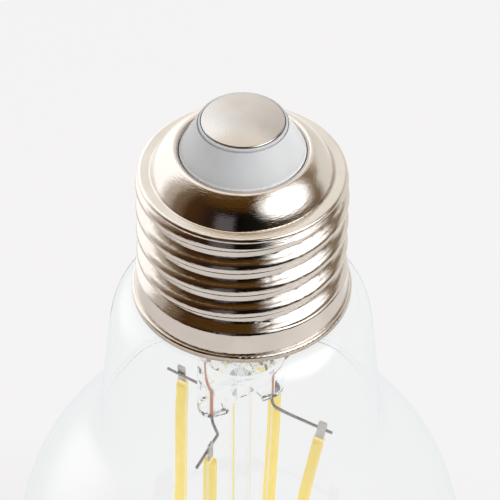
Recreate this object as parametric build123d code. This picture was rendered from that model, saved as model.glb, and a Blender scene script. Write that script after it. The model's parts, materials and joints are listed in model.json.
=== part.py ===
from build123d import *
import os
from math import acos, asin, atan2, cos, degrees, hypot, isclose, radians, sin, sqrt

# Clear LED filament bulb: a glass globe on a 27 mm screw cap, cap up, in millimetres.
# The origin is on the axis, in the plane of the cap's open rim. +Z points to the centre contact.

# Clearances
FIT = 0.05            # between pieces that are set into each other
WIRE_FIT = 0.02       # round a wire in its hole
CUT_MARGIN = 1.0      # how far a cutting body runs past the face that it opens

# Screw cap, rolled from thin sheet
SHEET_T = 0.30
THREAD_MAJOR_D = 26.25
THREAD_DEPTH = 1.08
THREAD_PITCH = 3.629
THREAD_ROOT_FLAT = 0.06    # how far the plain wall stands above the bottom of the root arc
THREAD_START_Z = 1.15      # height of the lowest crest on the +X side, hidden inside the skirt
THREAD_FADE = 0.6          # what the crest loses per millimetre of height where it runs out
THREAD_FADE_INSET = 0.1    # how far inside the ledge's face it ends
SKIRT_PROUD = 0.12         # how far the skirt's top stands out past the thread crests
SKIRT_TAPER = 0.15         # how much wider the skirt is at its foot
SKIRT_H = 4.3
RIM_PROUD = 0.42           # how far the rolled rim stands out past the skirt's foot
RIM_H = 1.1
RIM_ROUND = 0.32
RIM_GROOVE_ROUND = 0.05
SKIRT_STEP_H = 1.05        # height of the slope from the skirt in to the thread root
SKIRT_STEP_ROUND = 0.45
LEDGE_D = 25.6             # flat ledge between thread and dome
LEDGE_DROP = 3.53          # from the top of the dome down to the ledge
LEDGE_ROUND = 0.4
LEDGE_FOOT_ROUND = 0.4     # hollow round from the ledge down to the wall
CREASE_D = 22.8            # circle of the crease between the ledge and the dome
CREASE_ROUND = 0.17
DOME_HOLE_D = 15.5
DOME_TOP_Z = 23.0
DOME_EDGE_ROUND = 0.6      # round over which the sheet turns down into the hole
DOME_ROUND = 6.4           # bulge between that round and the crease

# Insulator and centre contact
INSULATOR_FLANGE_D = 18.4
INSULATOR_BOTTOM_Z = 19.9
INSULATOR_LIP_D = 10.8
INSULATOR_LIP_H = 0.35
INSULATOR_CONE_H = 4.1
INSULATOR_CONE_FOOT = 0.2  # how far the cone goes on below the top of the dome
INSULATOR_LIP_ROUND = 0.1
INSULATOR_GROOVE = 0.15    # width and depth of the groove round the lip
CONTACT_D = 10.15
CONTACT_EDGE_H = 0.45
CONTACT_CROWN_H = 0.75
CONTACT_EDGE_ROUND = 0.2
RIVET_D = 3.2
RIVET_HEAD_D = 4.6
RIVET_HEAD_H = 0.6
RIVET_BORE_DEPTH = 4.5

# Glass globe, one blown piece of even wall
GLASS_T = 0.8
GLOBE_D = 60.0
GLOBE_CENTRE_Z = -48.0
NECK_D = 33.2
NECK_FLARE = 6.0           # degrees that the neck widens downwards
NECK_FOOT_ROUND = 7.0      # hollow round between the neck and the globe
SHOULDER_ROUND = 5.0
SEAL_TUBE_TOP_Z = 7.2      # end of the narrow tube on the neck that sits inside the cap
SEAL_GAP = 0.9             # room for cement between the seal tube and the cap's wall
SEAL_ROUND = 1.0
CEMENT_TOP_GAP = 0.6       # bare glass above the cement
CEMENT_FOOT_GAP = 0.3      # between the cement and the round at the foot of the seal tube

# Glass stem
STEM_D = 11.0
STEM_WALL = 1.0
STEM_FLARE_TOP_GAP = 0.15  # how far the flare sits below the end of the seal tube
PRESS_TOP_Z = -11.0
PRESS_FLATTEN_H = 4.5
PRESS_W = 12.0
PRESS_T = 3.9
PRESS_END = 1.6            # length of the round end of the pressed section
PRESS_BULGE = 0.2          # how far its faces swell out
PRESS_FOOT_Z = -20.8
PRESS_FOOT_ROUND = 1.2
PRESS_TURN = 23.0          # degrees in plan
PRESS_ARCH_D = 5.2
PRESS_ARCH_H = 2.9
ROD_D = 2.9
ROD_PAST_STAR = 2.5
EXHAUST_D = 4.4
EXHAUST_BORE_D = 2.8
EXHAUST_TIP_Z = 11.0
EXHAUST_PORT_D = 1.4
EXHAUST_PORT_Z = -13.0

# Leads
LEAD_D = 0.5
LEAD_SPACING = 8.35
DUMET_TOP_STICKOUT = 0.6
DUMET_FOOT_STICKOUT = 0.9
INNER_LEAD_D = 0.4
INNER_LEAD_BEND = 0.6

# Filaments. All shares are of the reach: where the upper and lower welds lie in plan, and how the inner
# lead goes. It drops beside the sealed wire, turns to a straight run across the weld, and ends in a tail.
FILAMENT_REACH = 10.0
WELD_Z = -21.0
STAR_Z = -59.0
FILAMENTS = [
    {"top": (-0.79, 0.52), "foot": (-0.82, 0.42), "lead": 0, "drop": 0.11, "run": 0.42, "tail": 0.21},
    {"top": (-0.38, -0.84), "foot": (-0.41, -0.68), "lead": 0, "drop": 0.11, "run": 0.3, "tail": 0.33},
    {"top": (0.49, 0.84), "foot": (0.35, 0.68), "lead": 1, "drop": 0.11, "run": 0.34, "tail": 0.19},
    {"top": (1.04, -0.45), "foot": (0.42, -0.48), "lead": 1, "drop": 0.19, "run": 0.36, "tail": 0.14},
]
STRIP_W = 1.45
STRIP_T = 0.3
BEAD_H = 0.75
BEAD_END_ROUND = 0.3
BEAD_END_GAP = 0.4         # bare strip between a tab and the phosphor
TAB_W = 1.15
TAB_T = 0.25
TAB_PAST_WELD = 1.5        # length of a tab on the far side of its weld
TAB_TO_STRIP = 1.3         # length of a tab between its weld and the strip
TAB_CORNER = 0.25

# Star that joins the lower tabs on the end of the rod
STAR_COLLAR_WALL = 0.5
STAR_COLLAR_H = 1.6
STAR_ARM_W = 1.2
STAR_ARM_T = 0.4
STAR_ARM_PAST_TAB = 1.1

# Driver in the cap
BOARD_L = 15.0
BOARD_W = 11.0
BOARD_T = 1.0
BOARD_Z = 14.0
LEAD_PAST_BOARD = 0.6
RECTIFIER_SIZE = (4.4, 3.6, 1.4)
RECTIFIER_AT = (-4.6, 2.7)
CHIP_SIZE = (4.9, 3.9, 1.5)
CHIP_AT = (4.5, -3.1)
CAPACITOR_D = 5.0
CAPACITOR_H = 5.5
CAPACITOR_ROUND = 0.5
CAPACITOR_AT = (-4.3, 3.0)
RESISTOR_D = 2.2
RESISTOR_H = 3.4
RESISTOR_ROUND = 0.4
MAINS_WIRE_D = 0.6
SHELL_WIRE_AT = (6.4, 4.1)
SHELL_WIRE_SEAT_R = 9.9
SHELL_WIRE_RISE = 1.7
SHELL_WIRE_BEND = 0.8

# Worked-out sizes of the cap
MAJOR_R = THREAD_MAJOR_D / 2
MINOR_R = MAJOR_R - THREAD_DEPTH
ROOT_R = MINOR_R + THREAD_ROOT_FLAT
SKIRT_TOP_R = MAJOR_R + SKIRT_PROUD
SKIRT_FOOT_R = SKIRT_TOP_R + SKIRT_TAPER
RIM_R = SKIRT_FOOT_R + RIM_PROUD
LEDGE_EDGE_R = LEDGE_D / 2 - LEDGE_ROUND
LEDGE_Z = DOME_TOP_Z - LEDGE_DROP
LEDGE_EDGE_Z = LEDGE_Z - LEDGE_ROUND
HOLE_R = DOME_HOLE_D / 2
EDGE_Z = DOME_TOP_Z - DOME_EDGE_ROUND
THREAD_ROUND = ((THREAD_PITCH / 4) ** 2 + (THREAD_DEPTH / 2) ** 2) / THREAD_DEPTH
FLANK_ANGLE = degrees(atan2(THREAD_PITCH / 2, 2 * THREAD_ROUND - THREAD_DEPTH))
CONE_FOOT_Z = DOME_TOP_Z - INSULATOR_CONE_FOOT
CONTACT_SEAT_Z = CONE_FOOT_Z + INSULATOR_CONE_H
LIP_TOP_Z = CONTACT_SEAT_Z + INSULATOR_LIP_H
CONTACT_TOP_Z = CONTACT_SEAT_Z + CONTACT_EDGE_H + CONTACT_CROWN_H
RIVET_END_Z = INSULATOR_BOTTOM_Z - RIVET_HEAD_H
BOARD_TOP_Z = BOARD_Z + BOARD_T
WIRE_END_Z = RIVET_END_Z + RIVET_BORE_DEPTH
SEAL_TUBE_R = ROOT_R - SHEET_T - SEAL_GAP
LEAD_X = LEAD_SPACING / 2 * cos(radians(PRESS_TURN))
LEAD_Y = LEAD_SPACING / 2 * sin(radians(PRESS_TURN))
LEAD_PLAN = [(-LEAD_X, -LEAD_Y), (LEAD_X, LEAD_Y)]


def flat(r, z):
    """Point of a meridian outline, in the plane that the axis and +X make."""
    return (r, 0, z)


def rounded(corners, radii):
    """Closed meridian outline through (radius, height) corners, each rounded by its own radius."""
    return FilletPolyline(*[flat(r, z) for r, z in corners], radius=radii, close=True)


def arc(centre, radius, start, end):
    """Meridian arc between two directions in degrees, 0 pointing outwards and 90 up."""
    points = []
    for angle in (radians(start), radians((start + end) / 2), radians(end)):
        points.append(flat(centre[0] + radius * cos(angle), centre[1] + radius * sin(angle)))
    return ThreePointArc(*points)


def turned(outline):
    """Solid turned about the axis from a closed meridian outline."""
    return revolve(make_face(outline), Axis.Z)


def upright(radius, bottom, top, at=(0, 0)):
    """Round bar that stands along +Z between two heights."""
    return Pos(at[0], at[1], (bottom + top) / 2) * Cylinder(radius, top - bottom)


def bent_wire(points, diameter, bend):
    """Round wire along straight runs joined by bends."""
    path = FilletPolyline(*points, radius=bend)
    section = Plane(origin=path @ 0, z_dir=path % 0) * Circle(diameter / 2)
    return sweep(section, path=path)


def beside(a, from_a, b, from_b):
    """Point at given distances from two others, on the right of the way from a to b."""
    way = hypot(b[0] - a[0], b[1] - a[1])
    along = (from_a ** 2 - from_b ** 2 + way ** 2) / (2 * way)
    aside = sqrt(from_a ** 2 - along ** 2)
    ahead = ((b[0] - a[0]) / way, (b[1] - a[1]) / way)
    return (a[0] + along * ahead[0] + aside * ahead[1], a[1] + along * ahead[1] - aside * ahead[0])


def direction(a, b):
    """Direction from one meridian point to another, in degrees as in arc."""
    return degrees(atan2(b[1] - a[1], b[0] - a[0]))


# Screw cap
LEDGE_CENTRE = (LEDGE_EDGE_R, LEDGE_EDGE_Z)
LEDGE_FOOT_R = ROOT_R + LEDGE_FOOT_ROUND
LEDGE_FOOT_CENTRE = (
    LEDGE_FOOT_R,
    LEDGE_EDGE_Z - sqrt((LEDGE_ROUND + LEDGE_FOOT_ROUND) ** 2 - (LEDGE_FOOT_R - LEDGE_EDGE_R) ** 2))
CREASE_CENTRE = (CREASE_D / 2, LEDGE_Z + CREASE_ROUND)
EDGE_CENTRE = (HOLE_R + DOME_EDGE_ROUND, EDGE_Z)
DOME_CENTRE = beside(EDGE_CENTRE, DOME_ROUND - DOME_EDGE_ROUND, CREASE_CENTRE, DOME_ROUND + CREASE_ROUND)


def dome_outline(depth):
    """Meridian from the wall over ledge, crease and dome into the hole, depth under the outer face."""
    foot_turn = direction(LEDGE_FOOT_CENTRE, LEDGE_CENTRE)
    crease_end = direction(CREASE_CENTRE, DOME_CENTRE)
    dome_end = direction(DOME_CENTRE, EDGE_CENTRE)
    foot = arc(LEDGE_FOOT_CENTRE, LEDGE_FOOT_ROUND + depth, 180, foot_turn)
    edge = arc(LEDGE_CENTRE, LEDGE_ROUND - depth, foot_turn - 180, 90)
    crease = arc(CREASE_CENTRE, CREASE_ROUND + depth, -90, crease_end)
    dome = arc(DOME_CENTRE, DOME_ROUND - depth, crease_end + 180, dome_end)
    hole = arc(EDGE_CENTRE, DOME_EDGE_ROUND - depth, dome_end, 180)
    return [foot, edge, Line(edge @ 1, crease @ 0), crease, dome, hole]


def dome_z(r, depth):
    """Height of the bulge of the dome at a radius, on a face that lies depth under the outer one."""
    return DOME_CENTRE[1] + sqrt((DOME_ROUND - depth) ** 2 - (r - DOME_CENTRE[0]) ** 2)


def thread_ridge(depth):
    """Helical ridge of crest, flanks and root arcs, on a face that lies depth under the outer one."""
    crest_centre = (MAJOR_R - THREAD_ROUND, THREAD_START_Z)
    crest_round = THREAD_ROUND - depth
    root_round = THREAD_ROUND + depth
    wall = ROOT_R - depth
    meet = degrees(acos((root_round - THREAD_ROOT_FLAT) / root_round))
    half = THREAD_PITCH / 2 - root_round * sin(radians(meet))
    inside = wall - SHEET_T
    edges = [arc(crest_centre, crest_round, -FLANK_ANGLE, FLANK_ANGLE)]
    for side in (-1, 1):
        root_centre = (MINOR_R + THREAD_ROUND, THREAD_START_Z + side * THREAD_PITCH / 2)
        edges.append(arc(root_centre, root_round, 180 + side * FLANK_ANGLE, 180 + side * meet))
        end_z = THREAD_START_Z + side * half
        edges.append(Line(flat(wall, end_z), flat(inside, end_z)))
    edges.append(Line(flat(inside, THREAD_START_Z - half), flat(inside, THREAD_START_Z + half)))
    rise = LEDGE_Z + THREAD_PITCH - THREAD_START_Z
    helix = Helix(THREAD_PITCH, rise, wall, center=(0, 0, THREAD_START_Z))
    return sweep(make_face(edges), path=helix, is_frenet=True)


def thread_limit(depth):
    """Body inside which the thread keeps its ridge: it narrows upwards, so that the crest runs out."""
    wide = MAJOR_R + CUT_MARGIN
    end = LEDGE_D / 2 - THREAD_FADE_INSET - depth * sqrt(1 + THREAD_FADE ** 2)
    fade_z = LEDGE_EDGE_Z - (wide - end) / THREAD_FADE
    corners = [(0, RIM_H / 2), (wide, RIM_H / 2), (wide, fade_z), (end, LEDGE_EDGE_Z), (0, LEDGE_EDGE_Z)]
    return turned(Polyline(*[flat(r, z) for r, z in corners], close=True))


def cap_body(lower, radii, depth, closing):
    """Solid under the cap's face: rounded corners up the wall, the dome's outline, closing corners."""
    dome = dome_outline(depth)
    wall = FilletPolyline(*[flat(r, z) for r, z in lower], dome[0] @ 0, radius=radii)
    top = Polyline(dome[-1] @ 1, *[flat(r, z) for r, z in closing], flat(*lower[0]))
    return turned([wall, *dome, top])


def screw_shell():
    outside = cap_body(
        [(0, 0), (RIM_R, 0), (RIM_R, RIM_H), (SKIRT_FOOT_R, RIM_H), (SKIRT_TOP_R, SKIRT_H),
         (ROOT_R, SKIRT_H + SKIRT_STEP_H)],
        [RIM_ROUND, RIM_ROUND, RIM_GROOVE_ROUND, SKIRT_STEP_ROUND, SKIRT_STEP_ROUND],
        0, [(HOLE_R, EDGE_Z - CUT_MARGIN), (0, EDGE_Z - CUT_MARGIN)])
    foot = SKIRT_FOOT_R - SHEET_T
    inside = cap_body(
        [(0, -CUT_MARGIN), (foot, -CUT_MARGIN), (foot, RIM_H), (SKIRT_TOP_R - SHEET_T, SKIRT_H),
         (ROOT_R - SHEET_T, SKIRT_H + SKIRT_STEP_H)],
        [0, 0, SKIRT_STEP_ROUND, SKIRT_STEP_ROUND], SHEET_T, [(0, EDGE_Z)])
    outside += thread_ridge(0) & thread_limit(0)
    inside += thread_ridge(SHEET_T) & thread_limit(SHEET_T)
    return outside - inside


def cap_insulator():
    bore = RIVET_D / 2 + FIT
    flange = INSULATOR_FLANGE_D / 2
    base = HOLE_R - FIT
    lip = INSULATOR_LIP_D / 2
    seat = CONTACT_D / 2 + FIT
    shelf = EDGE_Z - FIT
    groove = CONTACT_SEAT_Z - INSULATOR_GROOVE
    return turned(rounded(
        [(bore, INSULATOR_BOTTOM_Z), (flange, INSULATOR_BOTTOM_Z), (flange, dome_z(flange, SHEET_T + FIT)),
         (HOLE_R + SHEET_T, shelf), (base, shelf), (base, CONE_FOOT_Z),
         (lip + INSULATOR_GROOVE, CONTACT_SEAT_Z),
         (lip + INSULATOR_GROOVE, groove), (lip, groove), (lip, LIP_TOP_Z), (seat, LIP_TOP_Z),
         (seat, CONTACT_SEAT_Z), (bore, CONTACT_SEAT_Z)],
        [0, 0, 0, 0, 0, 0, 0, 0, 0, INSULATOR_LIP_ROUND, INSULATOR_LIP_ROUND, 0, 0]))


def centre_contact():
    edge = CONTACT_D / 2
    shaft = RIVET_D / 2
    head = RIVET_HEAD_D / 2
    bore = MAINS_WIRE_D / 2 + WIRE_FIT
    edge_z = CONTACT_SEAT_Z + CONTACT_EDGE_H
    crown_round = (edge ** 2 + CONTACT_CROWN_H ** 2) / (2 * CONTACT_CROWN_H)
    tilt = degrees(asin(edge / crown_round))
    crown = arc((0, CONTACT_TOP_Z - crown_round), crown_round, 90, 90 - tilt)
    sides = Polyline(*[flat(r, z) for r, z in [
        (edge, edge_z), (edge, CONTACT_SEAT_Z), (shaft, CONTACT_SEAT_Z), (shaft, INSULATOR_BOTTOM_Z),
        (head, INSULATOR_BOTTOM_Z), (head, RIVET_END_Z), (bore, RIVET_END_Z), (bore, WIRE_END_Z),
        (0, WIRE_END_Z), (0, CONTACT_TOP_Z)]])
    button = turned([crown, sides])
    rims = button.edges().filter_by(GeomType.CIRCLE).filter_by(lambda rim: isclose(rim.radius, edge))
    return fillet(rims.sort_by(Axis.Z)[-1], CONTACT_EDGE_ROUND)


# Glass
def globe_outline(depth):
    """Meridian of the globe from its pole to the end of the seal tube, depth under the outer face."""
    globe_r = GLOBE_D / 2
    shoulder = (NECK_D / 2 - SHOULDER_ROUND, -FIT - SHOULDER_ROUND)
    normal = (cos(radians(NECK_FLARE)), sin(radians(NECK_FLARE)))
    down = (normal[1], -normal[0])
    reach = (shoulder[0] + (SHOULDER_ROUND + NECK_FOOT_ROUND) * normal[0],
             shoulder[1] + (SHOULDER_ROUND + NECK_FOOT_ROUND) * normal[1] - GLOBE_CENTRE_Z)
    along = reach[0] * down[0] + reach[1] * down[1]
    run = -along - sqrt(along ** 2 - reach[0] ** 2 - reach[1] ** 2 + (globe_r + NECK_FOOT_ROUND) ** 2)
    hollow = (reach[0] + run * down[0], reach[1] + run * down[1] + GLOBE_CENTRE_Z)
    join = degrees(atan2(hollow[1] - GLOBE_CENTRE_Z, hollow[0]))
    seal_x = SEAL_TUBE_R + SEAL_ROUND
    seal = (seal_x, shoulder[1] + sqrt((SHOULDER_ROUND + SEAL_ROUND) ** 2 - (seal_x - shoulder[0]) ** 2))
    turn = degrees(atan2(seal[1] - shoulder[1], seal[0] - shoulder[0]))
    ball = arc((0, GLOBE_CENTRE_Z), globe_r - depth, -90, join)
    foot = arc(hollow, NECK_FOOT_ROUND + depth, 180 + join, 180 + NECK_FLARE)
    shoulder_arc = arc(shoulder, SHOULDER_ROUND - depth, NECK_FLARE, turn)
    cone = Line(foot @ 1, shoulder_arc @ 0)
    seal_arc = arc(seal, SEAL_ROUND + depth, 180 + turn, 180)
    tube = Line(seal_arc @ 1, flat(SEAL_TUBE_R - depth, SEAL_TUBE_TOP_Z))
    return [ball, foot, cone, shoulder_arc, seal_arc, tube], seal[1]


def glass_globe():
    outer, _ = globe_outline(0)
    inner, _ = globe_outline(GLASS_T)
    end = Line(outer[-1] @ 1, inner[-1] @ 1)
    pole = Line(outer[0] @ 0, inner[0] @ 0)
    return turned(outer + inner + [end, pole])


def basing_cement():
    _, foot_z = globe_outline(0)
    bottom = foot_z + CEMENT_FOOT_GAP
    top = SEAL_TUBE_TOP_Z - CEMENT_TOP_GAP
    inner = SEAL_TUBE_R + FIT
    skirt = SKIRT_TOP_R - SHEET_T - FIT
    wall = ROOT_R - SHEET_T - FIT
    corners = [(inner, bottom), (skirt, bottom), (skirt, SKIRT_H - SHEET_T),
               (wall, SKIRT_H + SKIRT_STEP_H - SHEET_T), (wall, top), (inner, top)]
    return turned(Polyline(*[flat(r, z) for r, z in corners], close=True))


def press_section(half_w, half_t, corner):
    """Long section of four arcs, so that sections of any proportion join edge to edge."""
    x, y = corner
    return make_face([
        ThreePointArc((-x, y), (0, half_t), (x, y)), ThreePointArc((x, y), (half_w, 0), (x, -y)),
        ThreePointArc((x, -y), (0, -half_t), (-x, -y)), ThreePointArc((-x, -y), (-half_w, 0), (-x, y))])


def glass_stem():
    tube_r = STEM_D / 2
    bore_r = tube_r - STEM_WALL
    flare_r = SEAL_TUBE_R - GLASS_T - FIT
    flare_round = flare_r - tube_r
    flare_z = SEAL_TUBE_TOP_Z - STEM_FLARE_TOP_GAP - STEM_WALL - flare_round
    outer_flare = arc((flare_r, flare_z), flare_round, 180, 90)
    inner_flare = arc((flare_r, flare_z), flare_round + STEM_WALL, 180, 90)
    tube = turned([
        Line(flat(tube_r, PRESS_TOP_Z), outer_flare @ 0), outer_flare,
        Line(outer_flare @ 1, inner_flare @ 1), inner_flare,
        Line(inner_flare @ 0, flat(bore_r, PRESS_TOP_Z)),
        Line(flat(bore_r, PRESS_TOP_Z), flat(tube_r, PRESS_TOP_Z))])
    turn = Rot(0, 0, PRESS_TURN)
    slab_z = PRESS_TOP_Z - PRESS_FLATTEN_H
    split = tube_r * sqrt(0.5)
    slab = press_section(PRESS_W / 2, PRESS_T / 2, (PRESS_W / 2 - PRESS_END, PRESS_T / 2 - PRESS_BULGE))
    top = press_section(tube_r, tube_r, (split, split))
    neck = loft([Pos(0, 0, PRESS_TOP_Z) * turn * top, Pos(0, 0, slab_z) * turn * slab])
    feet = extrude(Pos(0, 0, PRESS_FOOT_Z) * turn * slab, slab_z - PRESS_FOOT_Z)
    feet = fillet(feet.edges().group_by(Axis.Z)[0], PRESS_FOOT_ROUND)
    arch_z = PRESS_FOOT_Z + PRESS_ARCH_H - PRESS_ARCH_D / 2
    arch = Pos(0, 0, arch_z) * turn * Rot(90, 0, 0) * Cylinder(PRESS_ARCH_D / 2, PRESS_T + CUT_MARGIN)
    rod_r = ROD_D / 2
    rod_end = STAR_Z - ROD_PAST_STAR + rod_r
    rod = upright(rod_r, rod_end, slab_z) + Pos(0, 0, rod_end) * Sphere(rod_r)
    exhaust_r = EXHAUST_D / 2
    exhaust = upright(exhaust_r, PRESS_TOP_Z - CUT_MARGIN, EXHAUST_TIP_Z - exhaust_r)
    exhaust += Pos(0, 0, EXHAUST_TIP_Z - exhaust_r) * Sphere(exhaust_r)
    exhaust_bore = upright(EXHAUST_BORE_D / 2, EXHAUST_PORT_Z, EXHAUST_TIP_Z - exhaust_r)
    port = Pos(0, 0, EXHAUST_PORT_Z) * turn * Rot(-90, 0, 0) * Pos(0, 0, tube_r / 2)
    port = port * Cylinder(EXHAUST_PORT_D / 2, tube_r)
    stem = tube + neck + (feet - arch) + rod + exhaust - exhaust_bore - port
    for at in LEAD_PLAN:
        stem -= upright(LEAD_D / 2 + WIRE_FIT, PRESS_FOOT_Z - CUT_MARGIN, PRESS_TOP_Z, at)
    return stem


# Leads
DUMET_TOP_Z = PRESS_TOP_Z + DUMET_TOP_STICKOUT
DUMET_FOOT_Z = PRESS_FOOT_Z - DUMET_FOOT_STICKOUT


def dumet(at):
    return upright(LEAD_D / 2, DUMET_FOOT_Z, DUMET_TOP_Z, at)


def outer_lead(at):
    return upright(LEAD_D / 2, DUMET_TOP_Z, BOARD_TOP_Z + LEAD_PAST_BOARD, at)


# Filaments
def filament_frame(spec):
    """Plane at a filament's upper weld, x away from the axis, z up the filament. Also its length."""
    top = Vector(spec["top"][0] * FILAMENT_REACH, spec["top"][1] * FILAMENT_REACH, WELD_Z)
    foot = Vector(spec["foot"][0] * FILAMENT_REACH, spec["foot"][1] * FILAMENT_REACH, STAR_Z)
    up = (top - foot).normalized()
    out = Vector(top.X, top.Y, 0).normalized()
    out = (out - up * out.dot(up)).normalized()
    return Plane(origin=top, x_dir=out, z_dir=up), (top - foot).length


def tab_body(low, high, grow=0.0):
    """Flat tab between two heights in a filament's frame, wider all round by grow."""
    return Pos(0, 0, (low + high) / 2) * Box(TAB_W + 2 * grow, TAB_T + 2 * grow, high - low)


def end_tab(spec, at_top):
    frame, length = filament_frame(spec)
    if at_top:
        tab = tab_body(-TAB_TO_STRIP, TAB_PAST_WELD)
        free_end = tab.edges().filter_by(Axis.Y).group_by(Axis.Z)[-1]
    else:
        tab = tab_body(-length - TAB_PAST_WELD, -length + TAB_TO_STRIP)
        free_end = tab.edges().filter_by(Axis.Y).group_by(Axis.Z)[0]
    return frame * fillet(free_end, TAB_CORNER)


def substrate(spec):
    frame, length = filament_frame(spec)
    strip_l = length - 2 * TAB_TO_STRIP
    return frame * Pos(0, 0, -length / 2) * Box(STRIP_W, STRIP_T, strip_l)


def phosphor(spec):
    """Rounded beads of phosphor on both faces of a strip."""
    frame, length = filament_frame(spec)
    bead_l = length - 2 * (TAB_TO_STRIP + BEAD_END_GAP)
    half = STRIP_W / 2
    face = STRIP_T / 2
    section = make_face([
        ThreePointArc((-half, face), (0, face + BEAD_H), (half, face)), Line((half, face), (-half, face))])
    bead = Pos(0, 0, -length / 2 - bead_l / 2) * extrude(section, bead_l)
    bead = fillet(bead.edges().filter_by(GeomType.CIRCLE), BEAD_END_ROUND)
    return Compound(children=[frame * bead.solid(), frame * Rot(0, 0, 180) * bead.solid()])


def inner_lead(spec):
    """Bare wire from beside a sealed lead, down, then straight across a tab's face and on by its tail."""
    frame, _ = filament_frame(spec)
    lead = Vector(*LEAD_PLAN[spec["lead"]], PRESS_FOOT_Z - FIT)
    across = (TAB_T + INNER_LEAD_D) / 2 + WIRE_FIT
    if frame.to_local_coords(lead).Y < 0:
        across = -across
    turn = frame.from_local_coords((-spec["run"] * FILAMENT_REACH, across, 0))
    tail = frame.from_local_coords((spec["tail"] * FILAMENT_REACH, across, 0))
    aside = Vector(turn.X - lead.X, turn.Y - lead.Y, 0).normalized()
    start = lead + aside * ((LEAD_D + INNER_LEAD_D) / 2 + WIRE_FIT)
    drop = start - Vector(0, 0, spec["drop"] * FILAMENT_REACH)
    return bent_wire([start, drop, turn, tail], INNER_LEAD_D, INNER_LEAD_BEND)


def bottom_star():
    """Collar on the rod with one slotted arm for each lower tab."""
    rod_r = ROD_D / 2
    star = upright(rod_r + STAR_COLLAR_WALL, STAR_Z - STAR_COLLAR_H / 2, STAR_Z + STAR_COLLAR_H / 2)
    for spec in FILAMENTS:
        x, y = spec["foot"]
        reach = hypot(x, y) * FILAMENT_REACH + STAR_ARM_PAST_TAB
        arm = Pos(reach / 2, 0, STAR_Z) * Box(reach, STAR_ARM_W, STAR_ARM_T)
        star += Rot(0, 0, degrees(atan2(y, x))) * arm
    star -= upright(rod_r + WIRE_FIT, STAR_Z - STAR_COLLAR_H, STAR_Z + STAR_COLLAR_H)
    for spec in FILAMENTS:
        frame, length = filament_frame(spec)
        star -= frame * tab_body(-length - TAB_PAST_WELD, -length + TAB_TO_STRIP, WIRE_FIT)
    return star


# Driver
def driver_board():
    board = Pos(0, 0, BOARD_Z + BOARD_T / 2) * Box(BOARD_L, BOARD_W, BOARD_T)
    below = BOARD_Z - CUT_MARGIN
    above = BOARD_TOP_Z + CUT_MARGIN
    for at in LEAD_PLAN:
        board -= upright(LEAD_D / 2 + WIRE_FIT, below, above, at)
    board -= upright(MAINS_WIRE_D / 2 + WIRE_FIT, below, above, SHELL_WIRE_AT)
    return board


def chip_body(size, at):
    return Pos(at[0], at[1], BOARD_TOP_Z + size[2] / 2) * Box(*size)


def capacitor():
    can = upright(CAPACITOR_D / 2, BOARD_Z - CAPACITOR_H, BOARD_Z, CAPACITOR_AT)
    return fillet(can.edges().filter_by(GeomType.CIRCLE).sort_by(Axis.Z)[0], CAPACITOR_ROUND)


def fusible_resistor():
    body = upright(RESISTOR_D / 2, BOARD_TOP_Z, BOARD_TOP_Z + RESISTOR_H)
    return fillet(body.edges().filter_by(GeomType.CIRCLE).sort_by(Axis.Z)[-1], RESISTOR_ROUND)


def contact_wire():
    return upright(MAINS_WIRE_D / 2, BOARD_TOP_Z + RESISTOR_H, WIRE_END_Z - WIRE_FIT)


def shell_wire():
    x, y = SHELL_WIRE_AT
    grow = SHELL_WIRE_SEAT_R / hypot(x, y)
    seat = (x * grow, y * grow)
    bend_z = BOARD_TOP_Z + SHELL_WIRE_RISE
    seat_z = dome_z(SHELL_WIRE_SEAT_R + MAINS_WIRE_D / 2, SHEET_T + 2 * FIT)
    out_z = bend_z + SHELL_WIRE_SEAT_R - hypot(x, y)
    points = [(x, y, BOARD_Z), (x, y, bend_z), (*seat, out_z), (*seat, seat_z)]
    return bent_wire(points, MAINS_WIRE_D, SHELL_WIRE_BEND)


nodes = {
    "screw_shell": screw_shell(),
    "cap_insulator": cap_insulator(),
    "centre_contact": centre_contact(),
    "basing_cement": basing_cement(),
    "glass_globe": glass_globe(),
    "glass_stem": glass_stem(),
    "bottom_star": bottom_star(),
    "driver_board": driver_board(),
    "rectifier": chip_body(RECTIFIER_SIZE, RECTIFIER_AT),
    "driver_chip": chip_body(CHIP_SIZE, CHIP_AT),
    "capacitor": capacitor(),
    "fusible_resistor": fusible_resistor(),
    "contact_wire": contact_wire(),
    "shell_wire": shell_wire(),
}
for name, at in zip(("left", "right"), LEAD_PLAN):
    nodes[f"dumet_{name}"] = dumet(at)
    nodes[f"outer_lead_{name}"] = outer_lead(at)
for number, spec in enumerate(FILAMENTS, start=1):
    nodes[f"inner_lead_{number}"] = inner_lead(spec)
    nodes[f"top_tab_{number}"] = end_tab(spec, at_top=True)
    nodes[f"substrate_{number}"] = substrate(spec)
    nodes[f"phosphor_{number}"] = phosphor(spec)
    nodes[f"bottom_tab_{number}"] = end_tab(spec, at_top=False)

os.makedirs("parts", exist_ok=True)
for name, shape in nodes.items():
    export_step(shape, f"parts/{name}.step")
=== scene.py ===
import json
from math import acos, atan2, ceil, cos, degrees, hypot, radians, sin, sqrt

import bpy
from mathutils import Matrix, Vector


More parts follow.
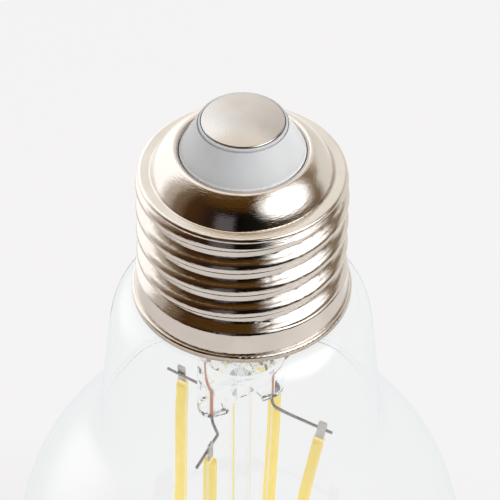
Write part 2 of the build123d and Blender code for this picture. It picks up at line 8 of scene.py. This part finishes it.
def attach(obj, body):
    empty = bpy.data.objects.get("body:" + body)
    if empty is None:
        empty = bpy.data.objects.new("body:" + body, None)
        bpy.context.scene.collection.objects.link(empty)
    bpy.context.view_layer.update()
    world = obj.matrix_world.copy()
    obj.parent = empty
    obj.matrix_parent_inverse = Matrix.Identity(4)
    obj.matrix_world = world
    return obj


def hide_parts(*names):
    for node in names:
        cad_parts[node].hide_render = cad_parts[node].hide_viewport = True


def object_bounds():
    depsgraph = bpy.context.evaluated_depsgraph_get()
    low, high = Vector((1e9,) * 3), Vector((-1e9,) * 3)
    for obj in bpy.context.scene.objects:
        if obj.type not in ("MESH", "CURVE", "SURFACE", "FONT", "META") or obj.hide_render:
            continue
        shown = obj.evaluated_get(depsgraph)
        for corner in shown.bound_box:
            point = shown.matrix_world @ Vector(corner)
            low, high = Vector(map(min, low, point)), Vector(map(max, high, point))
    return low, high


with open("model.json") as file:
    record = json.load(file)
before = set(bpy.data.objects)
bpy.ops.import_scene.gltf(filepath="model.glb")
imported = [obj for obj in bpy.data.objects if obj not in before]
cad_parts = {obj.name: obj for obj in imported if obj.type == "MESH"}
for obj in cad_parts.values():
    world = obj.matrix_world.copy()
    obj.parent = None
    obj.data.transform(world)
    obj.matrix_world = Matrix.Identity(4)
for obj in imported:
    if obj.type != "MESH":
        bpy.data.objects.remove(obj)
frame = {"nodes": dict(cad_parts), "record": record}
cad_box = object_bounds()
nodes = frame["nodes"]
scene = bpy.context.scene
MM = 0.001

# Camera, at the photograph's angle and framing for a square picture
ELEVATION = 42.7
ROLL = 0.6
DISTANCE = 380 * MM
AIM = Vector((1.0 * MM, 0, 6.23 * MM))
LENS, SENSOR = 220.2, 36
NEAR = 10 * MM


def add_camera():
    data = bpy.data.cameras.new("camera")
    data.lens = LENS
    data.sensor_width = SENSOR
    data.clip_start = NEAR
    camera = bpy.data.objects.new("camera", data)
    scene.collection.objects.link(camera)
    up = radians(ELEVATION)
    camera.location = AIM + DISTANCE * Vector((0, -cos(up), sin(up)))
    look = (AIM - camera.location).to_track_quat("-Z", "Y")
    camera.rotation_euler = (look.to_matrix() @ Matrix.Rotation(radians(ROLL), 3, "Z")).to_euler()
    scene.camera = camera


# Helpers for numbers, meshes and node trees
def step(low, high, value):
    """0 below low, 1 above high, smooth between."""
    t = min(1.0, max(0.0, (value - low) / (high - low)))
    return t * t * (3 - 2 * t)


def blend(a, b, share):
    """Point or colour that lies a share of the way from a to b."""
    return tuple(x + (y - x) * share for x, y in zip(a, b))


def add_mesh(name, verts, faces, material):
    mesh = bpy.data.meshes.new(name)
    mesh.from_pydata(verts, [], faces)
    mesh.materials.append(material)
    thing = bpy.data.objects.new(name, mesh)
    scene.collection.objects.link(thing)
    return thing


def empty_tree(owner):
    """Node tree of a material or world, with nothing in it."""
    owner.use_nodes = True
    owner.node_tree.nodes.clear()
    return owner.node_tree


# Values that the materials share
NOISE_LOW, NOISE_HIGH = 0.3, 0.7                # most of a noise's values lie between these
BUMP_DEPTH, WAVE_DEPTH = 0.1 * MM, 0.5 * MM
GROOVE_LEAN, GROOVE_DETAIL = -0.6, 3.0          # the lean puts grooves on faces that look up, too
SPECK_GRAIN, SPECK_DETAIL, SPECK_COVER = 3500, 3.0, 1.4


class Shader:
    """A material with one principled shader, and short calls for the nodes that feed it."""

    def __init__(self, name):
        self.material = bpy.data.materials.new(name)
        self.tree = empty_tree(self.material)
        self.bsdf = self.node("ShaderNodeBsdfPrincipled")
        self.out = self.node("ShaderNodeOutputMaterial")
        self.link(self.bsdf.outputs[0], self.out.inputs["Surface"])
        self.coords = self.node("ShaderNodeTexCoord").outputs["Object"]

    def node(self, kind):
        return self.tree.nodes.new(kind)

    def link(self, source, target):
        self.tree.links.new(source, target)

    def set(self, **values):
        for name, value in values.items():
            socket = name.replace("_", " ").title().replace("Ior", "IOR")
            self.bsdf.inputs[socket].default_value = value

    def vector(self, operation, source, output="Vector"):
        node = self.node("ShaderNodeVectorMath")
        node.operation = operation
        self.link(source, node.inputs[0])
        return node.outputs[output]

    def scaled(self, source, factor):
        scaled = self.vector("SCALE", source)
        scaled.node.inputs["Scale"].default_value = factor
        return scaled

    def height(self):
        parts = self.node("ShaderNodeSeparateXYZ")
        self.link(self.coords, parts.inputs[0])
        return parts.outputs["Z"]

    def noise(self, scale, detail, source=None):
        noise = self.node("ShaderNodeTexNoise")
        noise.inputs["Scale"].default_value = scale
        noise.inputs["Detail"].default_value = detail
        self.link(self.coords if source is None else source, noise.inputs["Vector"])
        return noise.outputs["Fac"]

    def grooves(self, length, fine):
        """Noise that runs round the upright axis, as turning and rolling leave it."""
        flat = self.vector("MULTIPLY", self.coords)
        flat.node.inputs[1].default_value = (1, 1, 0)
        rise = self.node("ShaderNodeMath")
        rise.operation = "MULTIPLY_ADD"
        self.link(self.vector("LENGTH", flat, "Value"), rise.inputs[0])
        rise.inputs[1].default_value = GROOVE_LEAN
        self.link(self.height(), rise.inputs[2])
        upright = self.node("ShaderNodeCombineXYZ")
        self.link(rise.outputs[0], upright.inputs["Z"])
        place = self.vector("ADD", self.scaled(self.vector("NORMALIZE", flat), length))
        self.link(self.scaled(upright.outputs[0], fine), place.node.inputs[1])
        return self.noise(1.0, GROOVE_DETAIL, place)

    def mottle(self, fac, dark, light):
        """Base colour between two tones."""
        ramp = self.node("ShaderNodeValToRGB")
        for stop, at, tone in zip(ramp.color_ramp.elements, (NOISE_LOW, NOISE_HIGH), (dark, light)):
            stop.position = at
            stop.color = (*tone, 1)
        self.link(fac, ramp.inputs[0])
        self.link(ramp.outputs[0], self.bsdf.inputs["Base Color"])

    def specks(self, full, gone, colour):
        """Specks mixed into the base colour, thickest at one height and gone at another: grit on the rim,
        painted light at the insulator's foot.
        """
        cover = self.node("ShaderNodeMapRange")
        cover.inputs["From Min"].default_value = gone
        cover.inputs["From Max"].default_value = full
        cover.inputs["To Max"].default_value = SPECK_COVER
        self.link(self.height(), cover.inputs["Value"])
        share = self.node("ShaderNodeMath")
        share.operation = "MULTIPLY"
        share.use_clamp = True
        self.link(cover.outputs[0], share.inputs[0])
        self.link(self.noise(SPECK_GRAIN, SPECK_DETAIL), share.inputs[1])
        mix = self.node("ShaderNodeMixRGB")
        mix.inputs[2].default_value = (*colour, 1)
        self.link(share.outputs[0], mix.inputs[0])
        self.link(self.bsdf.inputs["Base Color"].links[0].from_socket, mix.inputs[1])
        self.link(mix.outputs[0], self.bsdf.inputs["Base Color"])

    def roughen(self, fac, low, high):
        """Roughness between two values."""
        spread = self.node("ShaderNodeMapRange")
        spread.inputs["From Min"].default_value = NOISE_LOW
        spread.inputs["From Max"].default_value = NOISE_HIGH
        spread.inputs["To Min"].default_value = low
        spread.inputs["To Max"].default_value = high
        self.link(fac, spread.inputs["Value"])
        self.link(spread.outputs[0], self.bsdf.inputs["Roughness"])

    def bump(self, fac, strength, depth):
        bump = self.node("ShaderNodeBump")
        bump.inputs["Strength"].default_value = strength
        bump.inputs["Distance"].default_value = depth
        self.link(fac, bump.inputs["Height"])
        self.link(bump.outputs[0], self.bsdf.inputs["Normal"])


# Kinds of material
METAL = {"metallic": 1.0, "detail": 5.0, "rough_grain": 0.4, "rough_detail": 4.0}
PLASTIC = {"metallic": 0.0, "detail": 6.0, "rough_grain": 0.5, "rough_detail": 3.0}
# glow is painted light: phosphor and strip shine faintly though the bulb is off
PHOSPHOR = {"rough": 0.4, "glow": 0.36, "grain": 900, "detail": 5.0, "bump": 0.1}
GLASS = {"tone_grain": 60, "tone_detail": 2.0, "wave_grain": 45, "wave_detail": 1.0}


def opaque(kind, name, dark, light, rough, grain, bump, grooves=None, specks=None):
    """Mottled colour and roughness, over grooves where they are given and fine bumps elsewhere."""
    shader = Shader(name)
    shader.set(metallic=kind["metallic"])
    fac = shader.noise(grain, kind["detail"])
    shader.mottle(fac, dark, light)
    if specks:
        shader.specks(*specks)
    shader.roughen(shader.noise(grain * kind["rough_grain"], kind["rough_detail"]), *rough)
    shader.bump(shader.grooves(*grooves) if grooves else fac, bump, BUMP_DEPTH)
    return shader.material


def metal(name, dark, light, rough, grain=900, bump=0.02, **extras):
    return opaque(METAL, name, dark, light, rough, grain, bump, **extras)


def plastic(name, dark, light, rough, grain=700, bump=0.05, **extras):
    return opaque(PLASTIC, name, dark, light, rough, grain, bump, **extras)


def clear_glass(name, low, high, wave, tint, density, ior):
    """Clear glass with slow waves. The tint comes from the way that light goes through it."""
    shader = Shader(name)
    shader.set(transmission_weight=1.0, roughness=0.0, ior=ior)
    shader.mottle(shader.noise(GLASS["tone_grain"], GLASS["tone_detail"]), low, high)
    shader.bump(shader.noise(GLASS["wave_grain"], GLASS["wave_detail"]), wave, WAVE_DEPTH)
    inside = shader.node("ShaderNodeVolumeAbsorption")
    inside.inputs["Color"].default_value = (*tint, 1)
    inside.inputs["Density"].default_value = density
    shader.link(inside.outputs[0], shader.out.inputs["Volume"])
    return shader.material


def phosphor(name, dark, light, glow):
    """Phosphor in clear resin, or the strip under it, with a painted glow: a faint light of its own, though
    the bulb is off.
    """
    shader = Shader(name)
    shader.set(roughness=PHOSPHOR["rough"], emission_color=(*glow, 1), emission_strength=PHOSPHOR["glow"])
    fac = shader.noise(PHOSPHOR["grain"], PHOSPHOR["detail"])
    shader.mottle(fac, dark, light)
    shader.bump(fac, PHOSPHOR["bump"], BUMP_DEPTH)
    return shader.material


def dress():
    """One material for each of the record's slots, put on every CAD node of that slot."""
    rim_grit = (0, 1.2 * MM, (0.3, 0.22, 0.14))
    # painted light: pale specks lighten the insulator's foot, where the crease round it lies in shade
    foot_painted_light = (22.9 * MM, 23.12 * MM, (0.8, 0.8, 0.8))
    looks = {
        "nickel": metal("nickel", (0.655, 0.625, 0.595), (0.725, 0.7, 0.67), (0.035, 0.08),
                        grain=250, bump=0.24, grooves=(12, 4500), specks=rim_grit),
        "contact": metal("contact", (0.545, 0.53, 0.52), (0.6, 0.585, 0.57), (0.07, 0.12),
                         grain=250, bump=0.15, grooves=(10, 5000)),
        "insulator": plastic("insulator", (0.53, 0.54, 0.55), (0.57, 0.575, 0.58), (0.3, 0.42),
                             grain=300, specks=foot_painted_light),
        "cement": plastic("cement", (0.55, 0.47, 0.36), (0.72, 0.64, 0.5), (0.75, 0.9), grain=500, bump=0.4),
        "clear_glass": clear_glass("clear_glass", (0.99, 0.994, 0.992), (0.994, 0.998, 0.996),
                                   wave=0.02, tint=(0.0, 0.68, 0.74), density=11, ior=1.5),
        "stem_glass": clear_glass("stem_glass", (0.99, 0.998, 0.995), (0.994, 1.0, 0.997),
                                  wave=0.06, tint=(0.4, 0.6, 0.5), density=3, ior=1.38),
        "dumet": metal("dumet", (0.66, 0.27, 0.2), (0.78, 0.36, 0.28), (0.3, 0.42)),
        "lead_wire": metal("lead_wire", (0.3, 0.27, 0.26), (0.42, 0.39, 0.38), (0.3, 0.45), grain=1200),
        "tinned_wire": metal("tinned_wire", (0.6, 0.59, 0.57), (0.74, 0.73, 0.71), (0.25, 0.4), grain=1200),
        # the strip and the phosphor carry a painted glow, though the bulb is off
        "strip": phosphor("strip", (0.9, 0.84, 0.6), (0.95, 0.9, 0.68), glow=(1.0, 0.84, 0.46)),
        "phosphor": phosphor("phosphor", (0.98, 0.78, 0.16), (1.0, 0.86, 0.3), glow=(1.0, 0.74, 0.16)),
        "tab": metal("tab", (0.55, 0.51, 0.47), (0.68, 0.64, 0.6), (0.28, 0.42), grain=1000),
        "star": metal("star", (0.55, 0.53, 0.5), (0.68, 0.66, 0.63), (0.3, 0.45), grain=1000),
        "board": plastic("board", (0.03, 0.16, 0.07), (0.05, 0.24, 0.11), (0.35, 0.5), grain=500),
        "package": plastic("package", (0.012, 0.012, 0.013), (0.03, 0.03, 0.032), (0.5, 0.65),
                           grain=900, bump=0.2),
        "can": plastic("can", (0.03, 0.05, 0.12), (0.05, 0.08, 0.17), (0.3, 0.4), grain=600),
        "resistor": plastic("resistor", (0.2, 0.3, 0.36), (0.28, 0.38, 0.44), (0.3, 0.4)),
    }
    for part in frame["record"]["subparts"]:
        node = nodes[part["node"]]
        if not node.material_slots:
            node.data.materials.append(None)
        for slot in node.material_slots:
            slot.material = looks[part["material_slot"]]
    return looks


# Globe of blown glass, in mm and degrees
GLOBE_R, GLOBE_Z = 30.0, -48.0
NECK_R, NECK_FLARE, NECK_FOOT_ROUND = 16.6, 6.0, 7.0
SHOULDER_ROUND, SHOULDER_TOP = 5.0, -0.05
SEAL_R, SEAL_ROUND, SEAL_TOP = 10.9, 1.0, 7.2
SEAL_WALL, NECK_WALL = 0.8, 0.5
WALL_FROM, WALL_FULL = 0.0, 1.0                 # heights between which the wall thickens
EASE_FROM, EASE_FULL = -0.6, -3.5               # heights between which the easing sets in
EASE_PASSES, EASE_PULL = 200, 0.5
SPACING, COLUMNS = 0.15, 160
BALL_STRIDE, NECK_STRIDE = 8, 2                 # one point in so many makes a ring
NECK_SHARE = 0.8                                # the closer rings start at this share of the ball's radius


def run_of_points(place, length):
    count = ceil(length / SPACING)
    return [place(i / count) for i in range(count)]


def arc_points(centre, radius, start, end):
    def place(share):
        turn = radians(start + (end - start) * share)
        return centre[0] + radius * cos(turn), centre[1] + radius * sin(turn)
    return run_of_points(place, radius * abs(radians(end - start)))


def line_points(a, b):
    return run_of_points(lambda share: blend(a, b, share), hypot(b[0] - a[0], b[1] - a[1]))


def moved(point, way, length):
    return point[0] + way[0] * length, point[1] + way[1] * length


def globe_outline():
    """Outer meridian of the globe from its pole up to the end of the seal tube."""
    shoulder = (NECK_R - SHOULDER_ROUND, SHOULDER_TOP - SHOULDER_ROUND)
    out = (cos(radians(NECK_FLARE)), sin(radians(NECK_FLARE)))
    down = (out[1], -out[0])

    # The hollow round at the neck's foot touches the neck and the ball
    start = moved(shoulder, out, SHOULDER_ROUND + NECK_FOOT_ROUND)
    rise = start[1] - GLOBE_Z
    fall = start[0] * down[0] + rise * down[1]
    run = -fall - sqrt(fall ** 2 - start[0] ** 2 - rise ** 2 + (GLOBE_R + NECK_FOOT_ROUND) ** 2)
    hollow = moved(start, down, run)
    join = degrees(atan2(hollow[1] - GLOBE_Z, hollow[0]))

    # The round at the seal tube's foot touches the shoulder and the tube
    seal_x = SEAL_R + SEAL_ROUND
    seal_rise = sqrt((SHOULDER_ROUND + SEAL_ROUND) ** 2 - (seal_x - shoulder[0]) ** 2)
    seal = (seal_x, shoulder[1] + seal_rise)
    turn = degrees(atan2(seal_rise, seal_x - shoulder[0]))

    return (arc_points((0, GLOBE_Z), GLOBE_R, -90, join)
            + arc_points(hollow, NECK_FOOT_ROUND, 180 + join, 180 + NECK_FLARE)
            + line_points(moved(hollow, out, -NECK_FOOT_ROUND), moved(shoulder, out, SHOULDER_ROUND))
            + arc_points(shoulder, SHOULDER_ROUND, NECK_FLARE, turn)
            + arc_points(seal, SEAL_ROUND, 180 + turn, 180)
            + line_points((SEAL_R, seal[1]), (SEAL_R, SEAL_TOP))
            + [(SEAL_R, SEAL_TOP)])


def with_neighbours(points):
    """Each point of an outline that starts on the axis, between the points before and after it."""
    before = [(-points[1][0], points[1][1])] + points[:-1]
    return zip(before, points, points[1:] + points[-1:])


def eased(points):
    """The outline with its changes of curve spread out, except in the cap."""
    pulls = [EASE_PULL * (1 - step(EASE_FULL, EASE_FROM, z)) for _, z in points]
    for _ in range(EASE_PASSES):
        points = [blend(p, blend(a, b, 0.5), pull)
                  for (a, p, b), pull in zip(with_neighbours(points), pulls)]
    return points


def inner_face(outer):
    """The outline moved inwards by the wall."""
    inner = []
    for a, (r, z), b in with_neighbours(outer):
        size = hypot(b[0] - a[0], b[1] - a[1])
        wall = NECK_WALL + (SEAL_WALL - NECK_WALL) * step(WALL_FROM, WALL_FULL, z)
        inner.append((r - wall * (b[1] - a[1]) / size, z + wall * (b[0] - a[0]) / size))
    return inner


def turned(foot, rings, head):
    """Vertices and faces of a form turned round the upright axis, from one height on it to another."""
    verts = [(0, 0, foot * MM)]
    for r, z in rings:
        for i in range(COLUMNS):
            turn = radians(360 * i / COLUMNS)
            verts.append((r * cos(turn) * MM, r * sin(turn) * MM, z * MM))
    last = len(verts)
    verts.append((0, 0, head * MM))
    faces = []
    for i in range(COLUMNS):
        j = (i + 1) % COLUMNS
        faces.append((0, 1 + j, 1 + i))
        for row in range(len(rings) - 1):
            low = 1 + row * COLUMNS
            high = low + COLUMNS
            faces.append((low + i, low + j, high + j, high + i))
        faces.append((last - COLUMNS + i, last - COLUMNS + j, last))
    return verts, faces


def add_globe(material):
    """The CAD node's form, with its changes of curve eased and its wall thinner below the cap.

    The CAD mesh bends the picture of the filaments in jumps.
    """
    outer = eased(globe_outline())
    inner = inner_face(outer)
    last = len(outer) - 1
    neck = next(i for i, (r, z) in enumerate(outer) if r < GLOBE_R * NECK_SHARE and z > GLOBE_Z)
    keep = [*range(BALL_STRIDE, neck, BALL_STRIDE), *range(neck, last, NECK_STRIDE), last]
    rings = [outer[i] for i in keep] + [inner[i] for i in reversed(keep)]
    verts, faces = turned(outer[0][1], rings, inner[0][1])
    globe = add_mesh("globe_glass", verts, faces, material)
    for face in globe.data.polygons:
        face.use_smooth = True
    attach(globe, "root")
    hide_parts("glass_globe")


# Floor, background and lamps, in m and W
PALE = (0.913, 0.899, 0.905, 1)
WHITE = (1, 1, 1, 1)
FLOOR_Z, FLOOR_HALF, FLOOR_GLOW = cad_box[0][2], 6.0, 0.9
AMBIENT = 0.46
LAMPS = {
    "key": {"place": (0.85, -0.2, 0.58), "size": (0.35, 0.35), "energy": 9.0},
    "left_fill": {"place": (-0.8, -0.2, 0.4), "size": (0.5, 0.7), "energy": 2.9},
}


def calculated(tree, operation, a, b):
    """Output of a math node. The first value is an output, and the second an output or a number."""
    node = tree.nodes.new("ShaderNodeMath")
    node.operation = operation
    tree.links.new(a, node.inputs[0])
    if isinstance(b, float):
        node.inputs[1].default_value = b
    else:
        tree.links.new(b, node.inputs[1])
    return node.outputs[0]


def seen_directly(tree):
    """Output that is 1 for camera, glossy and transmission rays, otherwise 0."""
    rays = tree.nodes.new("ShaderNodeLightPath").outputs
    mirrored = calculated(tree, "MAXIMUM", rays["Is Camera Ray"], rays["Is Glossy Ray"])
    return calculated(tree, "MAXIMUM", mirrored, rays["Is Transmission Ray"])


def mix_shaders(tree, share, first, second, output_kind):
    """Two shaders, the second by a share, as the surface of a material or world."""
    mix = tree.nodes.new("ShaderNodeMixShader")
    for source, target in zip((share, first, second), mix.inputs):
        tree.links.new(source, target)
    tree.links.new(mix.outputs[0], tree.nodes.new(output_kind).inputs["Surface"])


def coloured(tree, kind, colour):
    """A shader node of one colour."""
    node = tree.nodes.new(kind)
    node.inputs["Color"].default_value = colour
    return node


def floor_material():
    """Pale, at its own brightness to the camera and through glass, and still with a faint shadow."""
    material = bpy.data.materials.new("floor")
    tree = empty_tree(material)
    matt = coloured(tree, "ShaderNodeBsdfDiffuse", PALE)
    glow = coloured(tree, "ShaderNodeEmission", PALE)
    share = calculated(tree, "MULTIPLY", seen_directly(tree), FLOOR_GLOW)
    mix_shaders(tree, share, matt.outputs[0], glow.outputs[0], "ShaderNodeOutputMaterial")
    return material


def add_floor():
    corners = [(-1, -1), (1, -1), (1, 1), (-1, 1)]
    verts = [(x * FLOOR_HALF, y * FLOOR_HALF, FLOOR_Z) for x, y in corners]
    floor = add_mesh("floor", verts, [(0, 1, 2, 3)], floor_material())
    floor.visible_glossy = False


def add_world():
    """Pale where it is seen, and a weak white light from all sides."""
    scene.world = bpy.data.worlds.new("world")
    tree = empty_tree(scene.world)
    soft = coloured(tree, "ShaderNodeBackground", WHITE)
    soft.inputs["Strength"].default_value = AMBIENT
    pale = coloured(tree, "ShaderNodeBackground", PALE)
    mix_shaders(tree, seen_directly(tree), soft.outputs[0], pale.outputs[0], "ShaderNodeOutputWorld")


def add_lamp(name, place, size, energy):
    """Soft lamp turned to the bulb, which mirrors and glass don't show."""
    data = bpy.data.lights.new(name, "AREA")
    data.shape = "RECTANGLE"
    data.size, data.size_y = size
    data.energy = energy
    lamp = bpy.data.objects.new(name, data)
    lamp.location = place
    lamp.rotation_euler = (-Vector(place)).to_track_quat("-Z", "Y").to_euler()
    lamp.visible_glossy = False
    lamp.visible_transmission = False
    scene.collection.objects.link(lamp)


# Tones that the bright metal mirrors. Azimuth 0 is the photograph's side, + is its right.
HORIZON = [
    (-180, (1.14, 1.08, 1.0)), (-150, (1.6, 1.58, 1.55)), (-112, (1.5, 1.45, 1.4)),
    (-94, (0.62, 0.54, 0.46)), (-80, (0.22, 0.15, 0.09)), (-62, (0.07, 0.03, 0.01)),
    (-34, (0.03, 0.015, 0.01)), (-6, (0.004, 0.004, 0.004)), (14, (0.01, 0.008, 0.005)),
    (92, (0.22, 0.15, 0.09)), (112, (0.3, 0.22, 0.14)), (132, (0.75, 0.66, 0.56)),
    (156, (0.95, 0.88, 0.8)), (180, (1.14, 1.08, 1.0)),
]
OVERHEAD = [
    (-90, (0.03, 0.015, 0.006)), (-52, (0.08, 0.037, 0.007)), (-28, (0.1, 0.045, 0.01)),
    (-14, (0.22, 0.14, 0.07)), (-4, (0.8, 0.66, 0.5)), (8, (1.15, 1.0, 0.82)),
    (46, (1.28, 1.23, 1.16)), (90, (0.75, 0.7, 0.65)),
]
WALL = (0.13, 0.115, 0.12)
LOW_RIGHT = (0.95, 0.9, 0.83)
TABLE = (0.86, 0.8, 0.75)
TABLE_RIGHT = (1.0, 0.94, 0.88)
TABLE_BACK = (1.08, 1.05, 1.02)
SOFTBOX = {"side": 61, "up": 33, "inner": 10, "outer": 40, "tone": (3.0, 2.96, 2.88)}

# Soft borders of those tones, in degrees
OVERHEAD_FOOT, OVERHEAD_FOOT_AHEAD = (48, 66), (32, 46)
AHEAD_SIDES = (-70, -50), (40, 60)
WALL_SIDES, WALL_TOP = ((-34, -26), (-11, -7)), (22, 31)
LOW_RIGHT_SIDES, LOW_RIGHT_TOP = ((98, 116), (150, 165)), (10, 24)
TABLE_EDGE = (-27, -13)
TABLE_RIGHT_SIDES = (25, 60), (85, 110)
TABLE_BACK_SIDE = (138, 156)
SOFTBOX_DIM, SOFTBOX_DIM_SHARE = (0, 16), 0.5   # its foot is dimmer
SOFTBOX_SLIDE_TOP, SOFTBOX_SLIDE = 15, 0.9      # and leans to the right

# Tones that the glass mirrors
PLAIN = (0.79, 0.835, 0.845)
GLASS_LIGHTS = [
    {"side": 61, "up": 33, "inner": 8, "outer": 36, "tone": (6.0, 6.0, 6.0)},
    {"side": -118, "up": 12, "inner": 5, "outer": 40, "tone": (2.2, 2.2, 2.2)},
]
ROOM_COLUMNS, ROOM_ROWS, ROOM_R = 144, 90, 2.0


def along(stops, at):
    """Colour at a place among (place, colour) stops."""
    for (low, a), (high, b) in zip(stops, stops[1:]):
        if at <= high:
            return blend(a, b, step(low, high, at))
    return stops[-1][1]


def within(borders, value):
    """1 between two soft borders, 0 outside them."""
    return step(*borders[0], value) * (1 - step(*borders[1], value))


def apart(side, up, light):
    """Angle in degrees between a direction and the middle of a light."""
    high = sin(radians(up)) * sin(radians(light["up"]))
    level = cos(radians(up)) * cos(radians(light["up"])) * cos(radians(side - light["side"]))
    return degrees(acos(min(1.0, max(-1.0, high + level))))


def lit(tone, side, up, lights):
    """A tone with soft round lights over it."""
    for light in lights:
        tone = blend(light["tone"], tone, step(light["inner"], light["outer"], apart(side, up, light)))
    return tone


def room_tone(side, up):
    """What metal mirrors in one direction, given in degrees."""
    back = degrees(atan2(-cos(radians(side)) * cos(radians(up)), sin(radians(up))))
    overhead = max(step(*OVERHEAD_FOOT, up), within(AHEAD_SIDES, side) * step(*OVERHEAD_FOOT_AHEAD, up))
    tone = along(HORIZON, side)
    tone = blend(tone, WALL, within(WALL_SIDES, side) * (1 - step(*WALL_TOP, up)))
    tone = blend(tone, along(OVERHEAD, back), overhead)
    tone = blend(tone, LOW_RIGHT, within(LOW_RIGHT_SIDES, side) * (1 - step(*LOW_RIGHT_TOP, up)))
    slide = SOFTBOX_SLIDE * max(0, SOFTBOX_SLIDE_TOP - up)
    dim = SOFTBOX_DIM_SHARE * (1 - step(*SOFTBOX_DIM, up))
    tone = blend(lit(tone, side - slide, up, [SOFTBOX]), tone, dim)
    table = blend(TABLE, TABLE_RIGHT, within(TABLE_RIGHT_SIDES, side))
    table = blend(table, TABLE_BACK, step(*TABLE_BACK_SIDE, abs(side)))
    return blend(table, tone, step(*TABLE_EDGE, up))


def glass_tone(side, up):
    """What glass mirrors in one direction, given in degrees."""
    return lit(PLAIN, side, up, GLASS_LIGHTS)


def room_material():
    """The room's painted tones as light: tone for metal, plain_tone for smooth glass."""
    material = bpy.data.materials.new("room")
    tree = empty_tree(material)
    mix = tree.nodes.new("ShaderNodeMixRGB")
    for name, place in {"tone": 1, "plain_tone": 2}.items():
        paint = tree.nodes.new("ShaderNodeVertexColor")
        paint.layer_name = name
        tree.links.new(paint.outputs["Color"], mix.inputs[place])
    path = tree.nodes.new("ShaderNodeLightPath")
    glow = tree.nodes.new("ShaderNodeEmission")
    out = tree.nodes.new("ShaderNodeOutputMaterial")
    tree.links.new(path.outputs["Is Singular Ray"], mix.inputs[0])
    tree.links.new(mix.outputs[0], glow.inputs["Color"])
    tree.links.new(glow.outputs[0], out.inputs["Surface"])
    return material


def add_room():
    """Sphere round the bulb that only mirrors see."""
    row = ROOM_COLUMNS + 1
    directions = [(-180 + 360 * i / ROOM_COLUMNS, -90 + 180 * j / ROOM_ROWS)
                  for j in range(ROOM_ROWS + 1) for i in range(row)]
    verts = []
    for side, up in directions:
        flat = ROOM_R * cos(radians(up))
        verts.append((flat * sin(radians(side)), -flat * cos(radians(side)), ROOM_R * sin(radians(up))))
    faces = [(j * row + i, j * row + i + 1, (j + 1) * row + i + 1, (j + 1) * row + i)
             for j in range(ROOM_ROWS) for i in range(ROOM_COLUMNS)]
    room = add_mesh("room", verts, faces, room_material())
    for name, tone_of in {"tone": room_tone, "plain_tone": glass_tone}.items():
        points = room.data.color_attributes.new(name, "FLOAT_COLOR", "POINT").data
        for point, (side, up) in zip(points, directions):
            point.color = (*tone_of(side, up), 1)
    room.visible_camera = False
    room.visible_diffuse = False
    room.visible_transmission = False
    room.visible_shadow = False


GLASS_BOUNCES = 256   # light runs a long way inside the edge of a glass wall before it leaves

add_camera()
looks = dress()
add_globe(looks["clear_glass"])
add_floor()
add_world()
add_room()
for name, lamp in LAMPS.items():
    add_lamp(name, **lamp)
scene.cycles.max_bounces = GLASS_BOUNCES
scene.cycles.glossy_bounces = GLASS_BOUNCES
scene.cycles.transmission_bounces = GLASS_BOUNCES

scene.view_settings.view_transform = "Standard"
